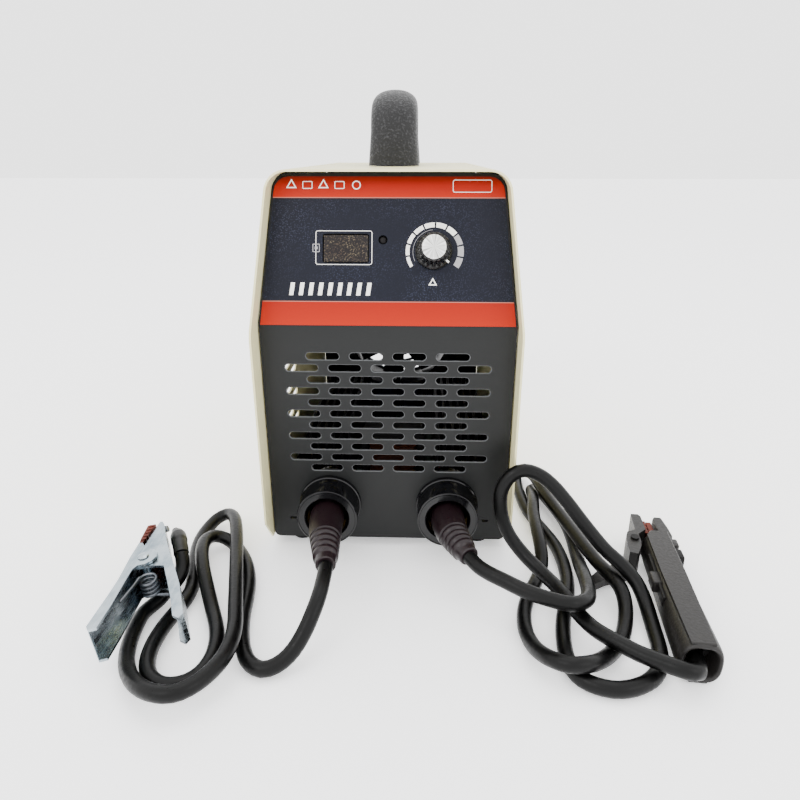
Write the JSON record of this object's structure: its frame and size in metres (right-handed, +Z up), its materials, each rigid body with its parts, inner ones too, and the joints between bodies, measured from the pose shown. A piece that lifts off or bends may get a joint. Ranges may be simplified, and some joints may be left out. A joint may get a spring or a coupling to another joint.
{
  "type": "stick welder",
  "caption": "Portable inverter stick welder with folded steel case, sloping control panel, carrying handle, two cable sockets, earth clamp lead and electrode holder lead.",
  "frame": {"origin": "on the floor under the middle of the machine's case, front sockets and rear cable gland included", "axes": "+X to the operator's right when facing the front panel, +Y to the rear, +Z up"},
  "size_m": [0.3151, 0.4096, 0.2755],
  "materials": {
    "cover_paint": "ivory powder coat, fine grain",
    "panel_paint": "charcoal satin powder coat",
    "label_film": "printed film with orange bands",
    "grip_plastic": "grained black moulding",
    "black_gloss": "glossy black moulding",
    "black_rubber": "soft black rubber",
    "plug_rubber": "dark aubergine rubber, slightly glossy",
    "cable_rubber": "satin black cable sheath",
    "brass": "turned brass",
    "copper": "red copper jaw",
    "zinc_steel": "zinc plated pressed steel",
    "steel": "plain steel",
    "knob_silver": "spun silver disc",
    "holder_plastic": "dark grey heat resistant moulding",
    "display_lens": "smoked lens",
    "board_green": "circuit board",
    "aluminium": "extruded aluminium",
    "winding": "varnished copper winding",
    "ferrite": "ferrite core",
    "capacitor_sleeve": "shrink sleeve",
    "fan_plastic": "black moulding",
    "switch_red": "red rocker"
  },
  "bodies": {
    "machine": {"cover_shell": "cover_paint", "front_panel": "panel_paint", "front_label": "label_film", "base_tray": "panel_paint", "rear_panel": "panel_paint", "foot_front_left": "black_rubber", "foot_front_right": "black_rubber", "foot_rear_left": "black_rubber", "foot_rear_right": "black_rubber", "carry_handle": "grip_plastic", "handle_bolt_front": "steel", "handle_bolt_rear": "steel", "display_window": "display_lens", "display_module": "black_gloss", "indicator_lamp": "display_lens", "control_board": "board_green", "potentiometer_nut": "steel", "potentiometer_body": "steel", "socket_left": "black_gloss", "socket_right": "black_gloss", "socket_contact_left": "brass", "socket_contact_right": "brass", "socket_nut_left": "grip_plastic", "socket_nut_right": "grip_plastic", "plug_sleeve_left": "plug_rubber", "plug_sleeve_right": "plug_rubber", "plug_pin_left": "brass", "plug_pin_right": "brass", "earth_cable": "cable_rubber", "electrode_cable": "cable_rubber", "clamp_arm_fixed": "zinc_steel", "clamp_rivet": "steel", "clamp_jaw_fixed": "copper", "clamp_spring": "steel", "clamp_cable_lug": "holder_plastic", "holder_grip": "holder_plastic", "holder_pivot": "steel", "holder_jaw_fixed": "copper", "fan_frame": "fan_plastic", "fan_guard": "steel", "switch_housing": "black_gloss", "cable_gland": "black_rubber", "earth_screw": "brass", "main_board": "board_green", "heat_sink_left": "aluminium", "heat_sink_right": "aluminium", "transformer_core": "ferrite", "transformer_winding": "winding", "output_choke": "winding", "capacitor_left": "capacitor_sleeve", "capacitor_right": "capacitor_sleeve"},
    "knob": {"control_knob": "black_gloss", "knob_cap": "knob_silver", "potentiometer_shaft": "aluminium"},
    "rocker": {"switch_rocker": "switch_red"},
    "fan": {"fan_rotor": "fan_plastic"},
    "clamp_arm": {"clamp_arm_moving": "zinc_steel", "clamp_jaw_moving": "copper"},
    "lever": {"holder_lever": "holder_plastic", "holder_jaw_moving": "copper"}
  },
  "joints": [
    {"name": "knob_turn", "type": "hinge", "parent": "machine", "child": "knob", "pos_m": [0.0255, -0.11083, 0.18421], "axis": [0, -0.9455, 0.3256], "range_deg": [0, 270]},
    {"name": "rocker_tilt", "type": "hinge", "parent": "machine", "child": "rocker", "pos_m": [-0.03, 0.1229, 0.172], "axis": [1, 0, 0], "range_deg": [-12, 0]},
    {"name": "fan_spin", "type": "hinge", "parent": "machine", "child": "fan", "pos_m": [0, 0.1084, 0.078], "axis": [0, 1, 0], "continuous": true},
    {"name": "clamp_open", "type": "hinge", "parent": "machine", "child": "clamp_arm", "pos_m": [-0.1291, -0.1861, 0.0215], "axis": [-0.1003, -0.0362, 0.9943], "range_deg": [0, 20], "stiffness_Nm_per_rad": 0.6, "springref_deg": -17.19},
    {"name": "lever_squeeze", "type": "hinge", "parent": "machine", "child": "lever", "pos_m": [0.14838, -0.14262, 0.0116], "axis": [0, 0, 1], "range_deg": [0, 15], "stiffness_Nm_per_rad": 0.6, "springref_deg": -17.19}
  ]
}
